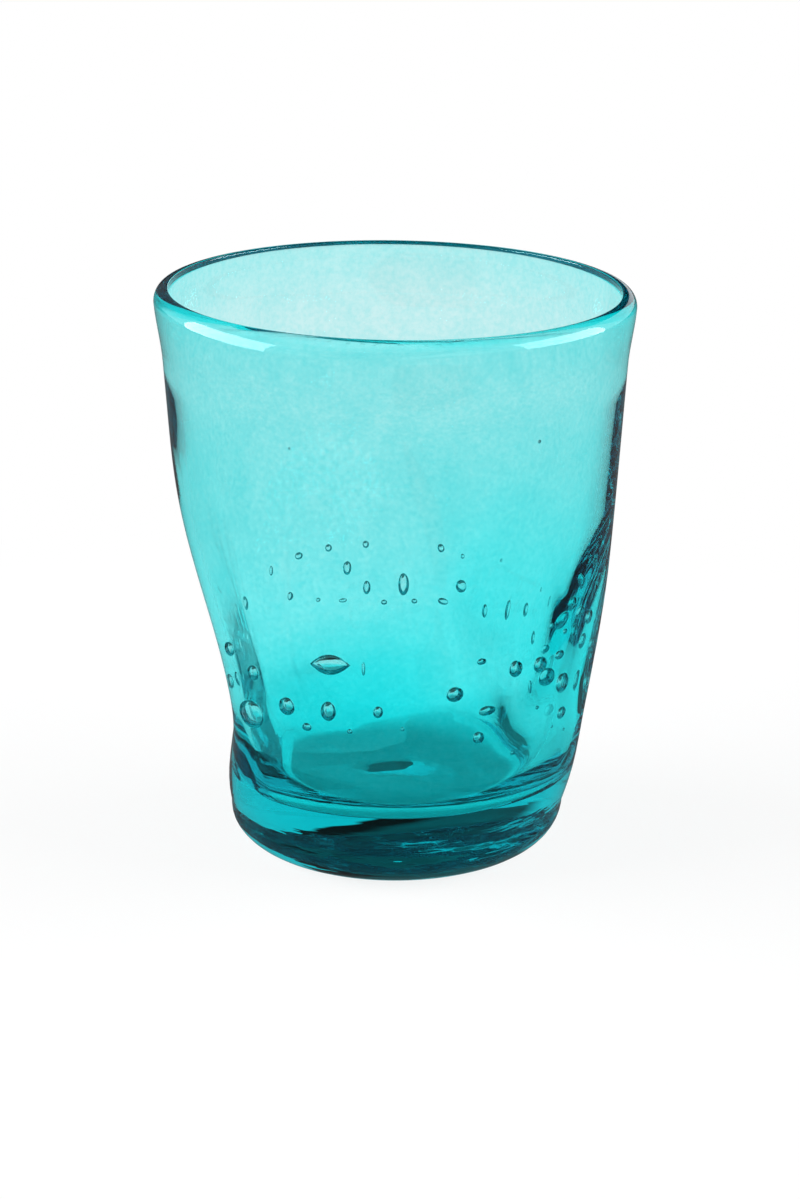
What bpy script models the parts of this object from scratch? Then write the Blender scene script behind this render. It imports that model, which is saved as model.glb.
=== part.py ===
"""Hand-blown bubble-glass tumbler with four pressed sides and a heavy round foot.

The glass is gathered three times, and each gather is its own piece:
  core_gather    the blown cup: inner wall, floor and fire-polished lip
  casing_gather  the sleeve of glass laid over the core, which traps the air bubbles
  base_gather    the heavy foot under both, with a hollow where the pontil rod came off

Metres, +Z up, with the origin at the middle of the standing face.
"""

import math

import bmesh
import bpy
from mathutils import Matrix, Vector
from mathutils.geometry import interpolate_bezier

# Overall form
HEIGHT = 0.1014
RIM_RADIUS = 0.042
FOOT_RADIUS = 0.0305
FOOT_EDGE = 0.0072
SHOULDER_RADIUS = 0.0381
SHOULDER_HEIGHT = 0.029
WAIST_RADIUS = 0.0386
WAIST_HEIGHT = 0.062

# Wall: even in the upper part, heavier towards the foot, and swollen into a bead at the lip
UPPER_WALL = 0.0018
FOOT_WALL = 0.0050
TAPER_TOP = 0.073
TAPER_POWER = 1.1
LIP_WALL = 0.0029
LIP_CROWN = 0.0022
LIP_BEAD = 0.0006
LIP_NECK = 0.0075

# The casing's share of the wall, and the gap that separates two gathers
CASING_SHARE = 0.5
SEAM = 0.0003

# Inside: the floor, and the heavy heel where the wall turns into it
FLOOR_HEIGHT = 0.0135
FLOOR_THICKNESS = 0.004
FLOOR_INSET = 0.0075
HEEL_RISE = 0.0205
HEEL_TURN_RISE = 0.0045
HEEL_TURN_INSET = 0.0007
HEEL_TOE = 0.002

# Underneath: the hollow that the pontil rod left
PONTIL_RADIUS = 0.0095
PONTIL_DEPTH = 0.0007

# The lip stands a little lower on the +X side than on the -X side
LIP_TILT = 0.0006

# Pressed sides: direction in degrees, depth and height of the deepest place, how far down the press
# reaches, how far its edge is rounded outside and inside, and how much deeper the floor is pressed
PRESSED_SIDES = (
    (25, 0.0056, 0.034, 0.036, 0.004, 0.014, 0.2),
    (115, 0.0074, 0.034, 0.036, 0.003, 0.012, 0.8),
    (181, 0.0066, 0.031, 0.036, 0.003, 0.020, 0.0),
    (286, 0.0020, 0.042, 0.022, 0.006, 0.006, 0.0),
)
PRESS_REACH_UP = 0.052
PRESSED_FLOOR = 0.0105

# The bowl lies off the axis up to these heights, so the wall is heavier on the +X side
HEAVY_SIDE = 0.0023
HEAVY_TOP = 0.064
THIN_SIDE = 0.0012
THIN_TOP = 0.080
SHIFT_FULL = 0.040

# Bubbles: direction in degrees, height, width and height across, as seen from outside
BUBBLES = (
    (253, 0.0440, 0.0068, 0.0037),
    (225, 0.0314, 0.0054, 0.0052),
    (239, 0.0349, 0.0030, 0.0033),
    (252, 0.0352, 0.0027, 0.0036),
    (289, 0.0375, 0.0033, 0.0027),
    (299, 0.0339, 0.0036, 0.0022),
    (308, 0.0409, 0.0028, 0.0031),
    (316, 0.0408, 0.0029, 0.0030),
    (326, 0.0358, 0.0036, 0.0037),
    (345, 0.0325, 0.0036, 0.0034),
    (328, 0.0297, 0.0026, 0.0023),
    (343, 0.0399, 0.0028, 0.0028),
    (337, 0.0461, 0.0028, 0.0026),
    (219, 0.0427, 0.0024, 0.0026),
    (228, 0.0397, 0.0025, 0.0028),
    (35, 0.0343, 0.0024, 0.0037),
    (65, 0.0344, 0.0029, 0.0025),
    (86, 0.0350, 0.0024, 0.0044),
    (108, 0.0398, 0.0022, 0.0026),
    (152, 0.0375, 0.0024, 0.0028),
    (163, 0.0330, 0.0030, 0.0026),
    (184, 0.0356, 0.0026, 0.0032),
    (203, 0.0390, 0.0028, 0.0024),
    (5, 0.0340, 0.0026, 0.0024),
)
BUBBLE_DEPTH = 0.0017
BUBBLE_ROOM = 0.55

# Facets: round the axis, up the wall, round a quarter arc, and on a bubble
TURN_STEPS = 56
WALL_STEPS = 14
ARC_STEPS = 4
BUBBLE_SEGMENTS = 8
BUBBLE_RINGS = 6
CURVE_STEPS = 64

MERGE = 0.00001
LIP_BOTTOM = HEIGHT - 2 * LIP_CROWN
BASE_TOP = FLOOR_HEIGHT - FLOOR_THICKNESS - SEAM
FLOOR_RADIUS = FOOT_RADIUS - FLOOR_INSET
HEEL_TOP = FLOOR_HEIGHT + HEEL_RISE

GLASS = {"core_gather": (0.10, 0.72, 0.76), "casing_gather": (0.03, 0.62, 0.68), "base_gather": (0.0, 0.42, 0.48)}


def blown_curve():
    """The side's outline from the foot to the lip, as (radius, height) points on one smooth curve."""
    foot = Vector((FOOT_RADIUS, FOOT_EDGE))
    shoulder = Vector((SHOULDER_RADIUS, SHOULDER_HEIGHT))
    waist = Vector((WAIST_RADIUS, WAIST_HEIGHT))
    lip = Vector((RIM_RADIUS - LIP_BEAD, HEIGHT - LIP_CROWN))
    return interpolate_bezier(foot, shoulder, waist, lip, CURVE_STEPS)


BLOWN_CURVE = blown_curve()


def blown_radius(height):
    """The radius of the smooth blown outline at a height."""
    if height <= FOOT_EDGE:
        drop = min(1.0, 1 - height / FOOT_EDGE)
        return FOOT_RADIUS - FOOT_EDGE * (1 - math.sqrt(max(0.0, 1 - drop * drop)))
    for low, high in zip(BLOWN_CURVE, BLOWN_CURVE[1:]):
        if height <= high.y:
            share = (height - low.y) / (high.y - low.y)
            return low.x + share * (high.x - low.x)
    return RIM_RADIUS - LIP_BEAD


def lip_share(height):
    """0 on the wall and 1 at the lip, with a smooth swell between them."""
    rise = max(0.0, 1 - (HEIGHT - LIP_CROWN - height) / LIP_NECK)
    return rise**4


def outer_radius(height):
    """The unpressed outside radius at a height, with the lip's bead."""
    return blown_radius(height) + LIP_BEAD * lip_share(height)


def inner_radius(height):
    """The unpressed inside radius at a height."""
    heavy = max(0.0, 1 - height / TAPER_TOP) ** TAPER_POWER
    wall = UPPER_WALL + (FOOT_WALL - UPPER_WALL) * heavy
    return blown_radius(height) - wall - (LIP_WALL - LIP_BEAD - UPPER_WALL) * lip_share(height)


def seam_radius(height):
    """The middle of the seam between the casing and the core."""
    return outer_radius(height) + CASING_SHARE * (inner_radius(height) - outer_radius(height))


def heights(low, high, steps=WALL_STEPS):
    return [low + (high - low) * i / steps for i in range(steps + 1)]


def arc(centre_x, centre_y, radius, start, end, steps=ARC_STEPS):
    """Points on an arc, with angles in degrees measured from outwards to upwards."""
    turns = [math.radians(start + (end - start) * i / steps) for i in range(steps + 1)]
    return [(centre_x + radius * math.cos(t), centre_y + radius * math.sin(t)) for t in turns]


def smooth_minimum(first, second, rounding):
    """The smaller of two lengths, with the corner where they meet rounded off."""
    near = max(0.0, rounding - abs(first - second)) / rounding
    return min(first, second) - near * near * rounding / 4


def eased(way):
    """A smooth step from 0 to 1."""
    way = min(1.0, max(0.0, way))
    return way * way * (3 - 2 * way)


def press_share(height, deepest, reach_down):
    """How far into its press a side is at a height: 1 at the deepest place, 0 past its reach."""
    reach = PRESS_REACH_UP if height > deepest else reach_down
    way = min(1.0, abs(height - deepest) / reach)
    return math.cos(way * math.pi / 2) ** 2


def bowl_shift(turn, height):
    """How far towards -X the bowl lies: not at all at its floor or in its upper part."""
    heavy = HEAVY_SIDE * (1 + math.cos(turn)) / 2 * eased((HEAVY_TOP - height) / (HEAVY_TOP - SHIFT_FULL))
    thin = THIN_SIDE * (1 - math.cos(turn)) / 2 * eased((THIN_TOP - height) / (THIN_TOP - SHIFT_FULL))
    return (heavy + thin) * eased((height - FLOOR_HEIGHT) / HEEL_RISE)


def pressed(turn, radius, height):
    """Where a point of the round glass goes when its sides are pressed, its bowl moves and its lip leans."""
    outside = outer_radius(height)
    depth_in_wall = max(0.0, min(1.0, (outside - radius) / (outside - inner_radius(height))))
    level = height
    low = 0.0
    if height > FLOOR_HEIGHT - MERGE:
        level += max(0.0, FLOOR_HEIGHT + PRESSED_FLOOR - height) * depth_in_wall
        low = depth_in_wall * eased((HEEL_TOP - height) / HEEL_RISE)
    narrowed = outside
    for degrees, depth, deepest, reach_down, edge, inner_edge, floor_press in PRESSED_SIDES:
        facing = math.cos(turn - math.radians(degrees))
        if facing > 0:
            rounding = edge + (inner_edge - edge) * depth_in_wall
            press = (depth + floor_press * depth * low + rounding) * press_share(level, deepest, reach_down)
            narrowed = smooth_minimum(narrowed, (outside + rounding - press) / facing, rounding)
    away = radius * narrowed / outside
    across = away * math.cos(turn) - depth_in_wall * bowl_shift(turn, height)
    lean = LIP_TILT * (height / HEIGHT) ** 2 * radius * math.cos(turn) / RIM_RADIUS
    return Vector((across, away * math.sin(turn), height - lean))


def through_wall(turn, height):
    """The way from the outside of the pressed wall to its inside."""
    return pressed(turn, inner_radius(height), height) - pressed(turn, outer_radius(height), height)


def placed(turn, radius, height, off):
    """A point of the pressed glass, set off from there through the wall, inwards."""
    place = pressed(turn, radius, height)
    if off:
        place += through_wall(turn, height).normalized() * off
    return place


def collection(name):
    made = bpy.data.collections.new(name)
    bpy.context.scene.collection.children.link(made)
    return made


def add_object(name, mesh, group):
    made = bpy.data.objects.new(name, mesh)
    group.objects.link(made)
    return made


def glass(name):
    """Clear blue-green glass, a little deeper in colour where the gather is thicker."""
    made = bpy.data.materials.new(name)
    made.use_nodes = True
    shader = made.node_tree.nodes["Principled BSDF"]
    shader.inputs["Base Color"].default_value = (*GLASS[name], 1)
    shader.inputs["Roughness"].default_value = 0.03
    shader.inputs["Metallic"].default_value = 0
    shader.inputs["Transmission Weight"].default_value = 1
    shader.inputs["IOR"].default_value = 1.5
    return made


def turned(name, outline, group):
    """Turns an outline of (radius, height, offset) points about the axis, and presses it as it goes.

    Each face is split across its shorter diagonal, so that both sides of a seam bend alike."""
    turns = [math.tau * i / TURN_STEPS for i in range(TURN_STEPS)]
    shape = bmesh.new()
    rings = []
    for radius, height, off in outline:
        if radius < MERGE:
            rings.append([shape.verts.new((0, 0, height))] * TURN_STEPS)
        else:
            rings.append([shape.verts.new(placed(turn, radius, height, off)) for turn in turns])
    following = rings[1:]
    if outline[0][0] > MERGE:
        following = rings[1:] + rings[:1]
    for ring, next_ring in zip(rings, following):
        for i in range(TURN_STEPS):
            j = (i + 1) % TURN_STEPS
            corners = [ring[i], ring[j], next_ring[j], next_ring[i]]
            shape.faces.new(list(dict.fromkeys(corners)))
    bmesh.ops.recalc_face_normals(shape, faces=shape.faces)
    bmesh.ops.triangulate(shape, faces=shape.faces, quad_method="SHORT_EDGE")
    mesh = bpy.data.meshes.new(name)
    shape.to_mesh(mesh)
    shape.free()
    mesh.shade_smooth()
    mesh.set_sharp_from_angle(angle=math.radians(40))
    made = add_object(name, mesh, group)
    made.data.materials.append(glass(name))
    return made


def seam(low, high, off):
    """One side of the seam between the casing and the core, from low to high."""
    return [(seam_radius(z), z, off) for z in heights(low, high)]


def lip():
    """The rounded lip, taller than it is thick, from its inside over the top to its outside."""
    turns = [math.pi * (1 - i / (2 * ARC_STEPS)) for i in range(2 * ARC_STEPS + 1)]
    middle = RIM_RADIUS - LIP_WALL / 2
    return [
        (middle + LIP_WALL / 2 * math.cos(t), HEIGHT - LIP_CROWN * (1 - math.sin(t)), 0)
        for t in turns
    ]


def heel():
    """The inside from the floor's edge up to where the wall is plain, on one smooth curve."""
    floor_edge = Vector((FLOOR_RADIUS, FLOOR_HEIGHT))
    toe = Vector((FLOOR_RADIUS + HEEL_TOE, FLOOR_HEIGHT))
    turn = Vector((FOOT_RADIUS - HEEL_TURN_INSET, FLOOR_HEIGHT + HEEL_TURN_RISE))
    top = Vector((inner_radius(HEEL_TOP), HEEL_TOP))
    return [(*point, 0) for point in interpolate_bezier(floor_edge, toe, turn, top, 2 * ARC_STEPS)]


def core_gather(group):
    """The blown cup: from under its floor up the seam, over the lip, and down the inside to its floor."""
    bottom = FLOOR_HEIGHT - FLOOR_THICKNESS
    seam_side = seam(bottom, LIP_BOTTOM - SEAM, SEAM / 2) + [(seam_radius(LIP_BOTTOM), LIP_BOTTOM, SEAM / 2)]
    neck = [(outer_radius(z), z, 0) for z in heights(LIP_BOTTOM, HEIGHT - LIP_CROWN, 2)]
    inside = [(inner_radius(z), z, 0) for z in reversed(heights(HEEL_TOP, HEIGHT - LIP_CROWN))]
    floor = [(FLOOR_RADIUS / 2, FLOOR_HEIGHT, 0), (0, FLOOR_HEIGHT, 0)]
    over_lip = neck + lip()[-2:0:-1] + inside
    outline = [(0, bottom, 0)] + seam_side + over_lip + heel()[-2::-1] + floor
    return turned("core_gather", outline, group)


def casing_gather(group):
    """The sleeve over the core, from the base up to under the lip."""
    low = FLOOR_HEIGHT - FLOOR_THICKNESS
    high = LIP_BOTTOM - SEAM
    outside = [(outer_radius(z), z, 0) for z in reversed(heights(low, high))]
    return turned("casing_gather", seam(low, high, -SEAM / 2) + outside, group)


def base_gather(group):
    """The heavy foot: a flat top for the two other gathers, a round edge, and the pontil hollow."""
    side = [(outer_radius(z), z, 0) for z in reversed(heights(FOOT_EDGE, BASE_TOP, 2))]
    edge = arc(FOOT_RADIUS - FOOT_EDGE, FOOT_EDGE, FOOT_EDGE, 0, -90)
    hollow = [
        (PONTIL_RADIUS * way, PONTIL_DEPTH * math.cos(way * math.pi / 2) ** 2, 0)
        for way in reversed(heights(0, 1, ARC_STEPS))
    ]
    rounded = [(*point, 0) for point in edge[1:]]
    return turned("base_gather", [(0, BASE_TOP, 0)] + side + rounded + hollow, group)


def bubble_cutter(number, degrees, height, width, tall, group):
    """One flattened bubble of air, centred on the seam between the core and the casing."""
    shape = bmesh.new()
    bmesh.ops.create_uvsphere(shape, u_segments=BUBBLE_SEGMENTS, v_segments=BUBBLE_RINGS, radius=0.5)
    turn = math.radians(degrees)
    way_in = through_wall(turn, height)
    way_in.z = 0
    centre = pressed(turn, seam_radius(height), height)
    size = Matrix.Diagonal((min(BUBBLE_DEPTH, BUBBLE_ROOM * way_in.length), width, tall, 1))
    facing = Matrix.Rotation(math.atan2(way_in.y, way_in.x), 4, "Z")
    shape.transform(Matrix.Translation(centre) @ facing @ size)
    mesh = bpy.data.meshes.new(f"bubble_{number:02d}")
    shape.to_mesh(mesh)
    shape.free()
    cutter = add_object(mesh.name, mesh, group)
    cutter.hide_render = True
    cutter.display_type = "WIRE"


def trap_bubbles(piece, cutters):
    """Hollows the bubbles' half of the pockets out of one gather."""
    cut = piece.modifiers.new("bubbles", "BOOLEAN")
    cut.operation = "DIFFERENCE"
    cut.solver = "EXACT"
    cut.operand_type = "COLLECTION"
    cut.collection = cutters


def main():
    for old in list(bpy.data.objects):
        bpy.data.objects.remove(old)
    tumbler = collection("tumbler")
    cutters = collection("bubble_cutters")
    core = core_gather(tumbler)
    casing = casing_gather(tumbler)
    base_gather(tumbler)
    for number, bubble in enumerate(BUBBLES, 1):
        bubble_cutter(number, *bubble, cutters)
    trap_bubbles(core, cutters)
    trap_bubbles(casing, cutters)


main()
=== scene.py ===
"""Looks of a hand-blown bubble-glass tumbler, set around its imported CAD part. Metres, +Z up."""

import functools
import math

import bpy
from mathutils import Matrix, Vector
from mathutils.geometry import interpolate_bezier


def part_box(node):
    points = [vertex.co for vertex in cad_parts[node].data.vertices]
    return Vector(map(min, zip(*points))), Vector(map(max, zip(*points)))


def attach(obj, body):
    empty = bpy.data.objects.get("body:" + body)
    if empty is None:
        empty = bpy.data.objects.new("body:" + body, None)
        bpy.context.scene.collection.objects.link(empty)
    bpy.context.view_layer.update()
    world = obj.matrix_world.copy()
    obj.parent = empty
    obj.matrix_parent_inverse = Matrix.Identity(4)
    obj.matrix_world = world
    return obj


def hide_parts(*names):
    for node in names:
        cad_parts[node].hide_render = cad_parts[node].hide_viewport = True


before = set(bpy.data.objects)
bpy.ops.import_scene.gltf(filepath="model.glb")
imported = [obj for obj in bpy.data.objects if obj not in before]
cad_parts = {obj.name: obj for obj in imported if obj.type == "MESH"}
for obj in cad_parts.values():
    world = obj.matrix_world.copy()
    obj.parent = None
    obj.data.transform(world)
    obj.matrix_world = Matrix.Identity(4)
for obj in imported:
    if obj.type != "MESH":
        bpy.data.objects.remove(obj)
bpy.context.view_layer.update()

# Rim and height of the CAD part, whose lip stands this far above level on the left and below it on the right
LIP_TILT = 0.0006
CORE_LOW, CORE_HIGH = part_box("core_gather")
RIM_RADIUS = (CORE_HIGH[0] - CORE_LOW[0]) / 2
HEIGHT = CORE_HIGH[2] - LIP_TILT

# Blown outline: foot, the round of its edge, and the radius and height of the curve's two handles
FOOT_RADIUS = 0.0305
FOOT_EDGE = 0.0072
SHOULDER = (0.0381, 0.029)
WAIST = (0.0386, 0.062)

# Wall: thickness high up and at the foot, the height at which it starts to thicken, and how evenly it does
UPPER_WALL = 0.0014
FOOT_WALL = 0.0064
TAPER_TOP = 0.092
TAPER_BEND = 1.1

# Lip: thickness, tight inside edge, round outside shoulder and its curve's handles, and the fall of
# its top in degrees
LIP_WALL = 0.0026
LIP_EDGE = 0.0004
LIP_SHOULDER = 0.0024
LIP_ROUND = (0.0013, 0.0014)
LIP_FALL = 1

# The lip's bead, how far down it fades, and how far down the wall swells on the inside
LIP_BEAD = 0.0006
LIP_NECK = 0.010
LIP_SWELL = 0.016

# The lip's top leans out further on this side: direction, how far round and how much, in degrees
LIP_LEAN_TURN = 245
LIP_LEAN_REACH = 52
LIP_LEAN = 26

# Floor inside, and the thick heel where the wall turns into it
FLOOR_HEIGHT = 0.0135
FLOOR_RADIUS = 0.0230
HEEL_TOP = 0.034
HEEL_TURN = (0.0298, 0.0180)
HEEL_TOE = 0.0250

# Hollow that the pontil rod left underneath
PONTIL_PLACE = (0.001, -0.004)
PONTIL_RADIUS = 0.0125
PONTIL_DEPTH = 0.0012

# The foot's edge stands off the table on this side: direction and reach in degrees, lift, the radius
# at which it starts and the height at which it ends
LIFT_TURN = 64
LIFT_REACH = 52
FOOT_LIFT = 0.0022
LIFT_START = 0.010
LIFT_TOP = 0.013

# Pressed sides: direction in degrees, depth and height of the deepest place, how far down the press
# reaches, how far its edge is rounded outside and inside, and how much deeper its lower part goes inside
PRESSED_SIDES = (
    (25, 0.0056, 0.028, 0.036, 0.006, 0.010, -0.8),
    (286, 0.0020, 0.042, 0.022, 0.006, 0.006, 0.0),
    (115, 0.0074, 0.034, 0.036, 0.006, 0.006, 0.8),
    (181, 0.0066, 0.031, 0.036, 0.003, 0.003, 0.0),
)

# How far up every press reaches, and the height whose press the floor takes
PRESS_REACH_UP = 0.052
PRESSED_FLOOR = 0.024

# A fold that runs up the inside of the wall as a groove: direction in degrees at its ends, heights,
# depth, width, the shares of its length over which it fades, and how far the mesh is drawn towards it
FOLD_FOOT = 139
FOLD_HEAD = 130
FOLD_LOW = 0.018
FOLD_HIGH = 0.054
FOLD_DEPTH = 0.0005
FOLD_WIDTH = 0.0007
FOLD_FADE_IN = 1 / 4
FOLD_FADE_OUT = 1 / 3
FOLD_GATHER = 0.5

# Share of the wall's depth past which a point is on its inside
INNER_FACE = 0.9

# The bowl lies off the axis up to these heights, so the wall is heavier on the right
HEAVY_RIGHT = 0.0015
HEAVY_TOP = 0.064
THIN_LEFT = 0.0010
THIN_TOP = 0.080
SHIFT_FULL = 0.040

# Mesh steps round the axis, up the wall, round an arc, along the lip and heel, across the floor and the
# underside, and along the blown curve
TURN_STEPS = 320
WALL_STEPS = 60
ARC_STEPS = 12
BEND_STEPS = 24
FLOOR_STEPS = 10
UNDER_STEPS = 30
CURVE_STEPS = 200

# The plane that becomes the section's first point, and the distance within which two points are one
START_PLANE = 0.001
WELD = 0.000005

# Trapped bubbles: direction in degrees, height, width and height across, in millimetres
FRONT_BUBBLES = (
    (307, 82.5, 0.6, 0.6),
    (244, 82.0, 0.4, 0.4),
    (225, 31.4, 5.4, 5.2),
    (239, 34.9, 3.0, 3.3),
    (252, 35.2, 2.7, 3.6),
    (266, 35.3, 1.7, 2.1),
    (245, 31.6, 1.7, 1.5),
    (258, 31.7, 0.9, 0.9),
    (273, 32.1, 0.7, 0.7),
    (289, 37.5, 3.3, 2.7),
    (299, 33.9, 3.6, 1.7),
    (296, 29.3, 2.2, 2.1),
    (308, 25.2, 1.0, 0.9),
    (297, 43.2, 1.9, 1.2),
    (308, 40.9, 2.8, 3.1),
    (316, 40.8, 2.9, 3.0),
    (326, 35.8, 3.6, 3.7),
    (345, 32.5, 3.6, 3.4),
    (328, 29.7, 2.6, 2.3),
    (316, 32.7, 0.8, 0.7),
    (331, 25.9, 0.7, 0.6),
    (323, 41.6, 2.4, 1.7),
    (343, 39.9, 2.8, 2.8),
    (337, 46.1, 2.8, 2.6),
    (324, 45.8, 1.2, 1.0),
    (219, 42.7, 2.4, 2.6),
    (228, 39.7, 2.5, 2.8),
    (217, 36.2, 2.0, 2.8),
    (262, 43.4, 0.6, 2.4),
    (313, 36.9, 0.8, 2.4),
)
BACK_BUBBLES = (
    (35, 34.3, 1.9, 3.7),
    (51, 31.8, 1.7, 2.4),
    (65, 34.4, 2.9, 2.5),
    (72, 31.1, 2.7, 1.3),
    (82, 31.5, 1.3, 1.0),
    (93, 32.2, 1.3, 1.0),
    (86, 35.0, 2.4, 4.4),
    (100, 35.6, 1.6, 2.6),
    (108, 39.8, 1.8, 2.6),
    (127, 43.4, 1.6, 1.3),
    (115, 43.8, 1.4, 1.4),
    (100, 43.3, 1.4, 1.4),
    (74, 41.4, 1.6, 1.6),
    (66, 40.3, 1.0, 1.0),
    (48, 41.7, 0.7, 0.7),
    (110, 34.1, 1.6, 0.8),
    (121, 35.2, 0.9, 0.8),
    (132, 36.8, 1.0, 1.6),
    (138, 41.9, 0.8, 1.8),
    (11, 41.5, 0.9, 0.9),
    (20, 36.5, 2.2, 2.6),
    (5, 34.0, 2.6, 2.2),
    (355, 42.0, 1.8, 2.0),
    (152, 37.5, 2.4, 2.8),
    (163, 33.0, 3.0, 2.6),
    (171, 40.2, 1.6, 1.8),
    (184, 35.6, 2.6, 3.2),
    (196, 31.5, 1.8, 1.6),
    (203, 39.0, 2.8, 2.2),
    (208, 34.4, 1.2, 1.4),
)
LENS_BUBBLE = (253, 44.0, 6.8, 3.7)
MM_IN_METRE = 1000

# A bubble's mesh, how much of the wall it may fill, and how flat it is
BALL_RADIUS = 0.5
BUBBLE_SEGMENTS = 20
BUBBLE_RINGS = 12
BUBBLE_ROOM = 0.55
BUBBLE_FLATNESS = 0.75

# Glass: refraction, tint of its shine, and the colour and density that its thickness takes on
GLASS_IOR = 1.5
SHINE_TINT = (0.5, 0.88, 0.9, 1)
DEPTH_COLOUR = (0, 0.958, 0.967, 1)
DEPTH_DENSITY = 245

# Mottling: scale per metre and detail of the fine and broad noise, share of the broad one, where the
# tint changes and its two ends
FINE_MOTTLE = (1000, 3)
BROAD_MOTTLE = (160, 2)
BROAD_SHARE = 0.35
MOTTLE_SPREAD = (0.40, 0.60)
PALE_TINT = (1.0, 0.98, 0.98, 1)
DEEP_TINT = (0.74, 0.93, 0.94, 1)

# Chill marks on the foot: heights where they start and are full, depth, noise and its stretch
CHILL_TOP = 0.013
CHILL_FULL = 0.008
CHILL_DEPTH = 0.00007
CHILL_MARKS = (170, 1)
CHILL_STRETCH = (1, 1, 6)

# White table top: size, how far it lies below the glass, colour and finish
FLOOR_SIZE = 8
FLOOR_DROP = 0.0002
FLOOR_COLOUR = (0.92, 0.92, 0.92, 1)
FLOOR_ROUGHNESS = 0.8
FLOOR_GLOSS = 0.1

# It turns plain white between these distances from the glass. Nearer in, these shares of it are white to the
# camera and through the glass; the share through the glass is painted light under and around the glass, in
# place of light that passes through the glass onto the table. This is how bright the white is through the
# glass, and how dark it is in the glass's shine, which is painted shade in its reflections
SHADOW_NEAR = 0.06
SHADOW_FAR = 0.2
FLOOR_LIFT = 0.85
PAINTED_LIGHT_UNDER_GLASS = 0.3
FLOOR_THROUGH_GLASS = 0.92
PAINTED_DARK_IN_SHINE = 0.12

# Backdrop: how steeply its steps rise to the right, their heights in the sky and how bright it is there
# (white, then dark, then dim), and the range of heights that its ramp covers
BACKDROP_TILT = 0.9
BACKDROP_STEPS = ((-0.04, 1.0), (0.0, 0.002), (0.16, 0.003), (0.30, 0.12))
BACKDROP_LOW = -0.1
BACKDROP_HIGH = 0.5

# White panels at both sides: where they start and are full, their top, and how softly it ends
SIDE_NEAR = 0.55
SIDE_FULL = 0.75
SIDE_TOP = 0.55
SIDE_FADE = 0.1

# Softboxes: name, place and power in watts, then the size and aim of both
SOFTBOXES = (
    ("left_softbox", (-0.9, -0.05, 0.33), 17.0),
    ("right_softbox", (0.9, -0.05, 0.33), 13.0),
)
SOFTBOX_SIZE = (0.9, 0.62)
SOFTBOX_AIM = (0, 0, 0.2)

# How often light may bounce on its way through the glass
LIGHT_BOUNCES = 48

# Camera for a frame of 800 x 1199 pixels: place, tilt down in radians, lens and sensor in millimetres
CAMERA_PLACE = (0.0008, -0.5087, 0.2135)
CAMERA_DOWN = 0.3215
CAMERA_LENS = 89.5
CAMERA_SENSOR = 36


def eased(way):
    """A smooth step from 0 to 1."""
    way = min(1.0, max(0.0, way))
    return way * way * (3 - 2 * way)


def radius_of(point):
    """How far a point is from the axis."""
    return math.hypot(point.x, point.y)


def degrees_from(point, direction):
    """How far round the axis a point is from a direction, in degrees."""
    turn = math.degrees(math.atan2(point.y, point.x)) - direction
    return abs((turn + 180) % 360 - 180)


def blown_curve():
    """The outside of the wall from the foot's edge to the lip, as (radius, height) points."""
    ends = [(FOOT_RADIUS, FOOT_EDGE), SHOULDER, WAIST, (RIM_RADIUS - LIP_BEAD, HEIGHT - LIP_SHOULDER)]
    return interpolate_bezier(*[Vector(end) for end in ends], CURVE_STEPS)


BLOWN_CURVE = blown_curve()


@functools.lru_cache(maxsize=None)
def outside_at(height):
    """The unpressed outside radius of the wall at a height, with the lip's bead."""
    return blown_at(height) + LIP_BEAD * eased(1 - (HEIGHT - LIP_SHOULDER - height) / LIP_NECK)


@functools.lru_cache(maxsize=None)
def blown_at(height):
    """The outside radius of the smooth blown curve at a height."""
    if height <= FOOT_EDGE:
        drop = min(1.0, 1 - height / FOOT_EDGE)
        return FOOT_RADIUS - FOOT_EDGE * (1 - math.sqrt(max(0.0, 1 - drop * drop)))
    for low, high in zip(BLOWN_CURVE, BLOWN_CURVE[1:]):
        if height <= high.y:
            share = (height - low.y) / (high.y - low.y)
            return low.x + share * (high.x - low.x)
    return RIM_RADIUS - LIP_BEAD


def wall_at(height):
    """The wall's thickness: thin high up, heavier towards the foot, and swollen at the lip."""
    heavy = max(0.0, 1 - height / TAPER_TOP) ** TAPER_BEND
    swell = eased(1 - (HEIGHT - LIP_EDGE - height) / LIP_SWELL)
    return UPPER_WALL + (FOOT_WALL - UPPER_WALL) * heavy + (LIP_WALL - UPPER_WALL) * swell


def inside_at(height):
    """The unpressed inside radius of the wall at a height."""
    return outside_at(height) - wall_at(height)


def between(low, high, steps):
    """Evenly spaced numbers from one to another."""
    return [low + (high - low) * i / steps for i in range(steps + 1)]


def arc(centre, radius, start, end):
    """Points on an arc of the section, with angles in degrees from outwards to upwards."""
    turns = [math.radians(turn) for turn in between(start, end, ARC_STEPS)]
    return [(centre[0] + radius * math.cos(t), centre[1] + radius * math.sin(t)) for t in turns]


def lip_arc():
    """The lip, from its round outside shoulder over its broad top to its tight inside edge."""
    fall = math.radians(LIP_FALL)
    edge = arc((RIM_RADIUS - LIP_WALL + LIP_EDGE, HEIGHT - LIP_EDGE), LIP_EDGE, 90 - LIP_FALL, 180)
    top = Vector(edge[0])
    low = Vector((RIM_RADIUS, HEIGHT - LIP_SHOULDER))
    up = low + Vector((0, LIP_ROUND[0]))
    out = top + LIP_ROUND[1] * Vector((math.cos(fall), -math.sin(fall)))
    return [tuple(point) for point in interpolate_bezier(low, up, out, top, BEND_STEPS)] + edge[1:]


def floor_heel():
    """The thick inside corner, where the wall leans in and turns into the floor."""
    top = (inside_at(HEEL_TOP), HEEL_TOP)
    ends = [top, HEEL_TURN, (HEEL_TOE, FLOOR_HEIGHT), (FLOOR_RADIUS, FLOOR_HEIGHT)]
    return [tuple(point) for point in interpolate_bezier(*[Vector(end) for end in ends], BEND_STEPS)]


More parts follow.
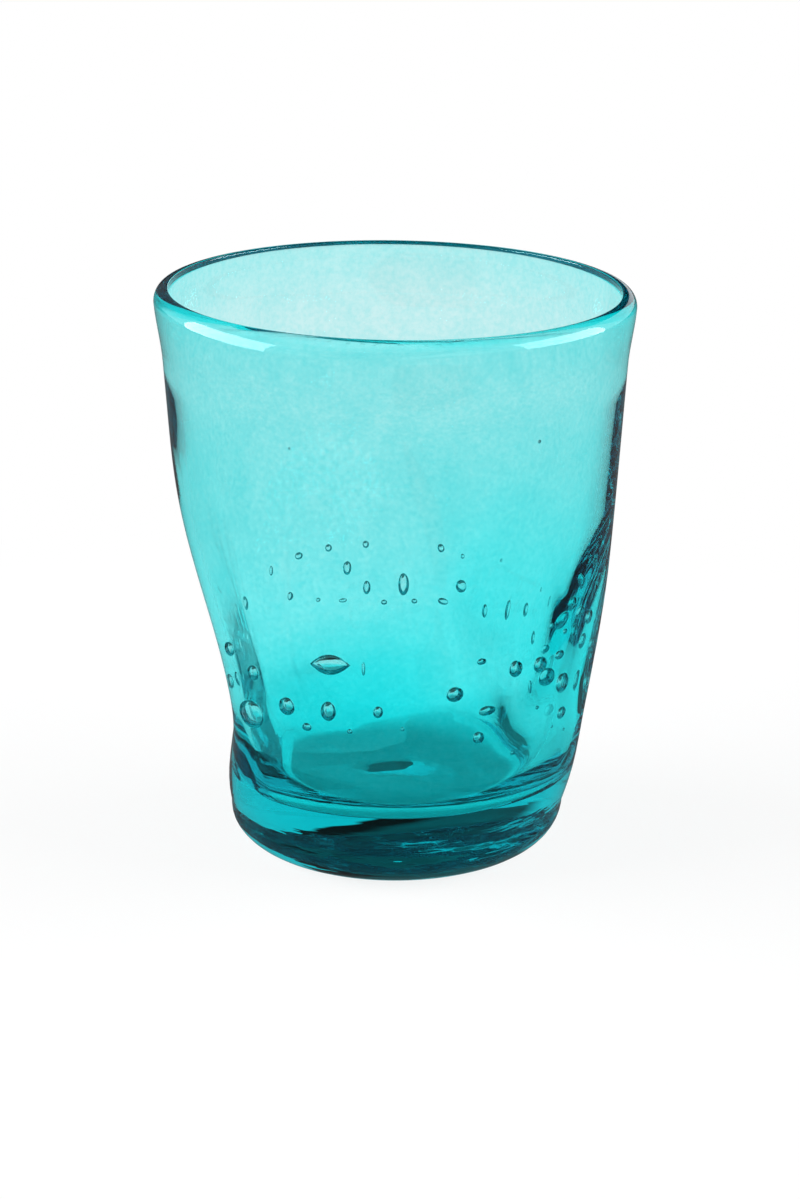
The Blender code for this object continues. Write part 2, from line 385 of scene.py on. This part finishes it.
def glass_section():
    """Half of the glass cut through its axis, from under the foot, over the lip, to the floor."""
    foot_ring = FOOT_RADIUS - FOOT_EDGE
    under = [(r, 0) for r in between(0, foot_ring, UNDER_STEPS)]
    edge = arc((foot_ring, FOOT_EDGE), FOOT_EDGE, -90, 0)
    outside = [(outside_at(z), z) for z in between(FOOT_EDGE, HEIGHT - LIP_SHOULDER, WALL_STEPS)]
    inside = [(inside_at(z), z) for z in between(HEIGHT - LIP_EDGE, HEEL_TOP, WALL_STEPS)]
    floor = [(r, FLOOR_HEIGHT) for r in between(FLOOR_RADIUS, 0, FLOOR_STEPS)]
    parts = under, edge[1:], outside[1:], lip_arc()[1:], inside[1:], floor_heel()[1:], floor[1:]
    return [point for part in parts for point in part]


def smooth_minimum(first, second, rounding):
    """The smaller of two lengths, with the corner where they meet rounded off."""
    near = max(0.0, rounding - abs(first - second)) / rounding
    return min(first, second) - near * near * rounding / 4


def press_share(height, deepest, reach_down):
    """How far into its press a side is at a height: 1 at the deepest place, 0 past its reach."""
    reach = PRESS_REACH_UP if height > deepest else reach_down
    way = min(1.0, abs(height - deepest) / reach)
    return math.cos(way * math.pi / 2) ** 2


def fold_depth(point):
    """How deep the fold's groove is in the inside of the wall at a point."""
    way = (point.z - FOLD_LOW) / (FOLD_HIGH - FOLD_LOW)
    turn = math.radians(FOLD_FOOT + (FOLD_HEAD - FOLD_FOOT) * way)
    off = radius_of(point) * math.sin(math.atan2(point.y, point.x) - turn)
    ends = eased(way / FOLD_FADE_IN) * eased((1 - way) / FOLD_FADE_OUT)
    return FOLD_DEPTH * ends * math.exp(-((off / FOLD_WIDTH) ** 2))


def gathered(point):
    """Turns a point towards the fold, so that the mesh is finer there."""
    turn = math.atan2(point.y, point.x)
    turn -= FOLD_GATHER * math.sin(turn - math.radians(FOLD_FOOT))
    away = radius_of(point)
    return Vector((away * math.cos(turn), away * math.sin(turn), point.z))


def press_sides(point, depth_in_wall):
    """The share of its radius that a point keeps when the sides are pressed flat."""
    outside = outside_at(point.z)
    narrowed = outside
    level = point.z
    low = 0.0
    if FLOOR_HEIGHT - WELD < level < PRESSED_FLOOR:
        level += (PRESSED_FLOOR - level) * depth_in_wall
    if FLOOR_HEIGHT - WELD < point.z < HEEL_TOP:
        low = depth_in_wall * eased((HEEL_TOP - point.z) / (HEEL_TOP - FLOOR_HEIGHT))
    for degrees, depth, deepest, reach_down, edge, inner_edge, floor_press in PRESSED_SIDES:
        facing = math.cos(math.atan2(point.y, point.x) - math.radians(degrees))
        if facing > 0:
            rounding = edge + (inner_edge - edge) * max(0.0, depth_in_wall)
            press = (depth + floor_press * depth * low + rounding) * press_share(level, deepest, reach_down)
            flat = outside + rounding - press
            narrowed = smooth_minimum(narrowed, flat / facing, rounding)
    return narrowed / outside


def pressed(point):
    """Where a point of the round glass goes when its sides are pressed flat and its lip leans."""
    depth_in_wall = min(1.0, (outside_at(point.z) - radius_of(point)) / wall_at(point.z))
    share = press_sides(point, depth_in_wall)
    if depth_in_wall > INNER_FACE and point.x < 0 < point.y:
        share += fold_depth(point) / radius_of(point)
    shift = depth_in_wall * bowl_shift(point)
    lean = LIP_TILT * (point.z / HEIGHT) ** 2
    drop = lean * point.x / RIM_RADIUS + lip_drop(point)
    lift = foot_lift(point) + (pontil_hollow(point) if point.z < WELD else 0)
    return Vector((point.x * share - shift, point.y * share, point.z - drop + lift))


def pontil_hollow(point):
    """How far the hollow that the pontil left lifts a point of the underside off the table."""
    away = math.hypot(point.x - PONTIL_PLACE[0], point.y - PONTIL_PLACE[1]) / PONTIL_RADIUS
    return PONTIL_DEPTH * math.cos(min(1.0, away) * math.pi / 2) ** 2


def foot_lift(point):
    """How far the foot's uneven edge stands off the table at a point."""
    outer = (radius_of(point) - LIFT_START) / (FOOT_RADIUS - LIFT_START)
    around = degrees_from(point, LIFT_TURN)
    return FOOT_LIFT * eased(outer) * eased(1 - around / LIFT_REACH) * eased(1 - point.z / LIFT_TOP)


def lip_drop(point):
    """How much lower the outside of the lip lies where its top leans out further."""
    outer = radius_of(point) - (RIM_RADIUS - LIP_WALL + LIP_EDGE)
    if outer < 0 or point.z < HEIGHT - LIP_SHOULDER - LIP_NECK:
        return 0
    lean = math.radians(LIP_LEAN) * eased(1 - degrees_from(point, LIP_LEAN_TURN) / LIP_LEAN_REACH)
    return lean * outer * eased(1 - (HEIGHT - LIP_SHOULDER - point.z) / LIP_NECK)


def bowl_shift(point):
    """How far left the bowl lies at a point: not at all at its floor or in its upper part."""
    across = point.x / max(WELD, radius_of(point))
    heavy = HEAVY_RIGHT * (1 + across) / 2 * eased((HEAVY_TOP - point.z) / (HEAVY_TOP - SHIFT_FULL))
    thin = THIN_LEFT * (1 - across) / 2 * eased((THIN_TOP - point.z) / (THIN_TOP - SHIFT_FULL))
    return (heavy + thin) * eased((point.z - FLOOR_HEIGHT) / (HEEL_TOP - FLOOR_HEIGHT))


def deselect():
    """Leaves nothing selected, so that an operator acts on the new piece alone."""
    bpy.ops.object.select_all(action="DESELECT")


def blow_glass():
    """Draws the section point by point, spins it about the axis, and presses its sides."""
    outline = glass_section()
    deselect()
    bpy.ops.mesh.primitive_plane_add(size=START_PLANE, location=(outline[0][0], 0, outline[0][1]))
    bpy.ops.object.transform_apply(location=True)
    glass = bpy.context.object
    glass.name = "bubble_glass_tumbler"
    bpy.ops.object.mode_set(mode="EDIT")
    bpy.ops.mesh.select_mode(type="VERT")
    bpy.ops.mesh.merge(type="CENTER")
    for here, there in zip(outline, outline[1:]):
        step = (there[0] - here[0], 0, there[1] - here[1])
        bpy.ops.mesh.extrude_vertices_move(TRANSFORM_OT_translate={"value": step})
    bpy.ops.mesh.select_all(action="SELECT")
    bpy.ops.mesh.spin(steps=TURN_STEPS, angle=math.tau, center=(0, 0, 0), axis=(0, 0, 1))
    bpy.ops.mesh.select_all(action="SELECT")
    bpy.ops.mesh.remove_doubles(threshold=WELD)
    bpy.ops.mesh.normals_make_consistent(inside=False)
    bpy.ops.object.mode_set(mode="OBJECT")
    for vertex in glass.data.vertices:
        vertex.co = pressed(gathered(vertex.co))
    return glass


def add_bubble(degrees, height, width, tall, pointed=False):
    """One flattened hollow in the middle of the wall. Its faces look into the air that it holds."""
    turn = math.radians(degrees)
    level = height / MM_IN_METRE
    width /= MM_IN_METRE
    tall /= MM_IN_METRE
    out = Vector((math.cos(turn), math.sin(turn), 0))
    faces = outside_at(level), inside_at(level)
    outside, inside = [pressed(out * radius + Vector((0, 0, level))) for radius in faces]
    centre = (outside + inside) / 2
    through = outside - inside
    through.z = 0
    facing = math.atan2(through.y, through.x)
    thick = min(BUBBLE_ROOM * through.length, BUBBLE_FLATNESS * min(width, tall))
    bpy.ops.mesh.primitive_uv_sphere_add(
        segments=BUBBLE_SEGMENTS, ring_count=BUBBLE_RINGS, radius=BALL_RADIUS
    )
    bubble = bpy.context.object
    if pointed:
        for vertex in bubble.data.vertices:
            vertex.co.z *= math.sqrt(max(0.0, 1 - (vertex.co.y / BALL_RADIUS) ** 2))
    size = Matrix.Diagonal((thick, width, tall, 1))
    bubble.data.transform(Matrix.Translation(centre) @ Matrix.Rotation(facing, 4, "Z") @ size)
    bpy.ops.object.mode_set(mode="EDIT")
    bpy.ops.mesh.select_all(action="SELECT")
    bpy.ops.mesh.normals_make_consistent(inside=True)
    bpy.ops.object.mode_set(mode="OBJECT")
    return bubble


def trap_bubbles(glass):
    """Makes all the bubbles part of the one glass mesh, as hollows inside its wall."""
    bubbles = [add_bubble(*bubble) for bubble in FRONT_BUBBLES + BACK_BUBBLES]
    bubbles.append(add_bubble(*LENS_BUBBLE, pointed=True))
    deselect()
    for bubble in bubbles:
        bubble.select_set(True)
    glass.select_set(True)
    bpy.context.view_layer.objects.active = glass
    bpy.ops.object.join()
    bpy.ops.object.shade_smooth()


def math_node(tree, operation, *values):
    """A Math node's result. Each value is a number, or the output that it is taken from."""
    node = tree.nodes.new("ShaderNodeMath")
    node.operation = operation
    for socket, value in zip(node.inputs, values):
        if isinstance(value, bpy.types.NodeSocket):
            tree.links.new(value, socket)
        else:
            socket.default_value = value
    return node.outputs["Value"]


def range_node(tree, value, start, end, to=(0, 1), kind="SMOOTHSTEP"):
    """A value that goes from the first to the last of two numbers between start and end."""
    node = tree.nodes.new("ShaderNodeMapRange")
    node.interpolation_type = kind
    node.inputs["From Min"].default_value = start
    node.inputs["From Max"].default_value = end
    node.inputs["To Min"].default_value = to[0]
    node.inputs["To Max"].default_value = to[1]
    tree.links.new(value, node.inputs["Value"])
    return node.outputs["Result"]


def split_place(tree, coordinates):
    """The three parts of a place, as outputs named X, Y and Z."""
    place = tree.nodes.new("ShaderNodeTexCoord")
    split = tree.nodes.new("ShaderNodeSeparateXYZ")
    tree.links.new(place.outputs[coordinates], split.inputs["Vector"])
    return split.outputs


def object_noise(tree, scale, detail, stretch=(1, 1, 1)):
    """Noise in Object coordinates, as a number about 0.5."""
    place = tree.nodes.new("ShaderNodeTexCoord")
    shape = tree.nodes.new("ShaderNodeMapping")
    shape.inputs["Scale"].default_value = stretch
    noise = tree.nodes.new("ShaderNodeTexNoise")
    noise.inputs["Scale"].default_value = scale
    noise.inputs["Detail"].default_value = detail
    tree.links.new(place.outputs["Object"], shape.inputs["Vector"])
    tree.links.new(shape.outputs["Vector"], noise.inputs["Vector"])
    return noise.outputs["Fac"]


def mottled_tint(tree):
    """Fine and broad blotches of a slightly deeper turquoise."""
    blotches = tree.nodes.new("ShaderNodeMix")
    blotches.inputs["Factor"].default_value = BROAD_SHARE
    tree.links.new(object_noise(tree, *FINE_MOTTLE), blotches.inputs["A"])
    tree.links.new(object_noise(tree, *BROAD_MOTTLE), blotches.inputs["B"])
    tint = tree.nodes.new("ShaderNodeValToRGB")
    pale, deep = tint.color_ramp.elements
    pale.position, deep.position = MOTTLE_SPREAD
    pale.color = PALE_TINT
    deep.color = DEEP_TINT
    tree.links.new(blotches.outputs["Result"], tint.inputs["Fac"])
    return tint.outputs["Color"]


def chill_marks(tree):
    """Shallow chill marks that run round the foot."""
    height = split_place(tree, "Object")["Z"]
    bump = tree.nodes.new("ShaderNodeBump")
    bump.inputs["Distance"].default_value = CHILL_DEPTH
    tree.links.new(range_node(tree, height, CHILL_TOP, CHILL_FULL), bump.inputs["Strength"])
    tree.links.new(object_noise(tree, *CHILL_MARKS, CHILL_STRETCH), bump.inputs["Height"])
    return bump.outputs["Normal"]


def turquoise_glass():
    """Clear glass that takes its turquoise from its thickness, faintly mottled, chilled at the foot."""
    made = bpy.data.materials.new("turquoise_bubble_glass")
    made.use_nodes = True
    tree = made.node_tree
    shader = tree.nodes["Principled BSDF"]
    shader.inputs["Transmission Weight"].default_value = 1
    shader.inputs["Roughness"].default_value = 0.0
    shader.inputs["IOR"].default_value = GLASS_IOR
    shader.inputs["Specular Tint"].default_value = SHINE_TINT
    absorb = tree.nodes.new("ShaderNodeVolumeAbsorption")
    absorb.inputs["Color"].default_value = DEPTH_COLOUR
    absorb.inputs["Density"].default_value = DEPTH_DENSITY
    tree.links.new(mottled_tint(tree), shader.inputs["Base Color"])
    tree.links.new(chill_marks(tree), shader.inputs["Normal"])
    tree.links.new(absorb.outputs["Volume"], tree.nodes["Material Output"].inputs["Volume"])
    return made


def studio_white_with_painted_light():
    """White that keeps the glass's shadow near it and is plain white further off, with painted light on it
    under the glass where the glass looks through to it, and painted shade where the glass reflects it.
    """
    made = bpy.data.materials.new("studio_white_with_painted_light")
    made.use_nodes = True
    tree = made.node_tree
    shader = tree.nodes["Principled BSDF"]
    shader.inputs["Base Color"].default_value = FLOOR_COLOUR
    shader.inputs["Roughness"].default_value = FLOOR_ROUGHNESS
    shader.inputs["Specular IOR Level"].default_value = FLOOR_GLOSS
    rays = tree.nodes.new("ShaderNodeLightPath").outputs
    seen = rays["Is Camera Ray"]
    reflected = rays["Is Glossy Ray"]
    through = rays["Is Transmission Ray"]
    mirrored = math_node(tree, "GREATER_THAN", reflected, through)

    place = tree.nodes.new("ShaderNodeTexCoord")
    away = tree.nodes.new("ShaderNodeVectorMath")
    away.operation = "LENGTH"
    tree.links.new(place.outputs["Object"], away.inputs[0])
    fade = range_node(tree, away.outputs["Value"], SHADOW_NEAR, SHADOW_FAR)
    shown = math_node(tree, "MAXIMUM", math_node(tree, "MAXIMUM", seen, reflected), through)
    far_share = math_node(tree, "MULTIPLY", shown, fade)
    lifted = math_node(tree, "MULTIPLY", seen, FLOOR_LIFT)
    # Painted light: near the glass, the floor seen through the glass is partly white emission, in place of
    # light that passes through the glass
    near_white_and_painted_light = math_node(tree, "MULTIPLY_ADD", through, PAINTED_LIGHT_UNDER_GLASS, lifted)
    share = math_node(tree, "MAXIMUM", near_white_and_painted_light, far_share)

    dimmed = range_node(tree, through, 0, 1, (1, FLOOR_THROUGH_GLASS), "LINEAR")
    white = tree.nodes.new("ShaderNodeEmission")
    # Painted shade: where the glass reflects the floor, the floor is dimmed to a dark emission, so the
    # glass's reflections are dark
    brightness = math_node(tree, "MULTIPLY_ADD", mirrored, PAINTED_DARK_IN_SHINE - 1, dimmed)
    tree.links.new(brightness, white.inputs["Strength"])
    mix = tree.nodes.new("ShaderNodeMixShader")
    tree.links.new(math_node(tree, "MAXIMUM", share, mirrored), mix.inputs["Fac"])
    tree.links.new(shader.outputs["BSDF"], mix.inputs[1])
    tree.links.new(white.outputs["Emission"], mix.inputs[2])
    tree.links.new(mix.outputs["Shader"], tree.nodes["Material Output"].inputs["Surface"])
    return made


def studio_floor():
    """A wide white table top."""
    deselect()
    bpy.ops.mesh.primitive_plane_add(size=FLOOR_SIZE, location=(0, 0, -FLOOR_DROP))
    bpy.ops.object.transform_apply(location=True)
    floor = bpy.context.object
    floor.name = "studio_floor"
    floor.data.materials.append(studio_white_with_painted_light())


def softbox(name, place, power):
    """A rectangular lamp, which the glass reflects and doesn't show through itself."""
    light = bpy.data.lights.new(name, "AREA")
    light.shape = "RECTANGLE"
    light.size, light.size_y = SOFTBOX_SIZE
    light.energy = power
    made = bpy.data.objects.new(name, light)
    made.location = place
    made.rotation_euler = (Vector(place) - Vector(SOFTBOX_AIM)).to_track_quat("Z", "Y").to_euler()
    made.visible_transmission = False
    bpy.context.scene.collection.objects.link(made)


def backdrop_ramp(tree, height):
    """Brightness of the backdrop at a height in the sky."""
    level = range_node(tree, height, BACKDROP_LOW, BACKDROP_HIGH, kind="LINEAR")
    ramp = tree.nodes.new("ShaderNodeValToRGB")
    steps = ramp.color_ramp.elements
    while len(steps) < len(BACKDROP_STEPS):
        steps.new(1)
    for step, (height_there, bright) in zip(steps, BACKDROP_STEPS):
        step.position = (height_there - BACKDROP_LOW) / (BACKDROP_HIGH - BACKDROP_LOW)
        step.color = (bright, bright, bright, 1)
    tree.links.new(level, ramp.inputs["Fac"])
    return ramp.outputs["Color"]


def studio_world():
    """White low down and at both sides, dark above, and plain white to the camera."""
    world = bpy.data.worlds.new("studio")
    bpy.context.scene.world = world
    world.use_nodes = True
    tree = world.node_tree
    sky = split_place(tree, "Generated")
    tilted = math_node(tree, "MULTIPLY_ADD", sky["X"], -BACKDROP_TILT, sky["Z"])
    backdrop = backdrop_ramp(tree, tilted)
    aside = math_node(tree, "ABSOLUTE", sky["X"])
    panel = range_node(tree, aside, SIDE_NEAR, SIDE_FULL)
    below_top = range_node(tree, sky["Z"], SIDE_TOP, SIDE_TOP + SIDE_FADE, (1, 0))
    sides = math_node(tree, "MULTIPLY", panel, below_top)
    studio = math_node(tree, "MAXIMUM", backdrop, sides)
    seen = tree.nodes.new("ShaderNodeLightPath").outputs["Is Camera Ray"]
    white = math_node(tree, "MAXIMUM", studio, seen)
    tree.links.new(white, tree.nodes["Background"].inputs["Color"])


def place_camera():
    """The camera of the photograph's view."""
    camera = bpy.data.cameras.new("camera")
    camera.lens = CAMERA_LENS
    camera.sensor_width = CAMERA_SENSOR
    made = bpy.data.objects.new("camera", camera)
    made.location = CAMERA_PLACE
    made.rotation_euler = (math.pi / 2 - CAMERA_DOWN, 0, 0)
    bpy.context.scene.collection.objects.link(made)
    bpy.context.scene.camera = made


glass = blow_glass()
trap_bubbles(glass)
glass.data.materials.append(turquoise_glass())
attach(glass, "root")
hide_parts("core_gather", "casing_gather", "base_gather")

studio_floor()
studio_world()
for box in SOFTBOXES:
    softbox(*box)
place_camera()

cycles = bpy.context.scene.cycles
cycles.max_bounces = LIGHT_BOUNCES
cycles.transmission_bounces = LIGHT_BOUNCES
cycles.glossy_bounces = LIGHT_BOUNCES
bpy.context.scene.view_settings.view_transform = "Standard"
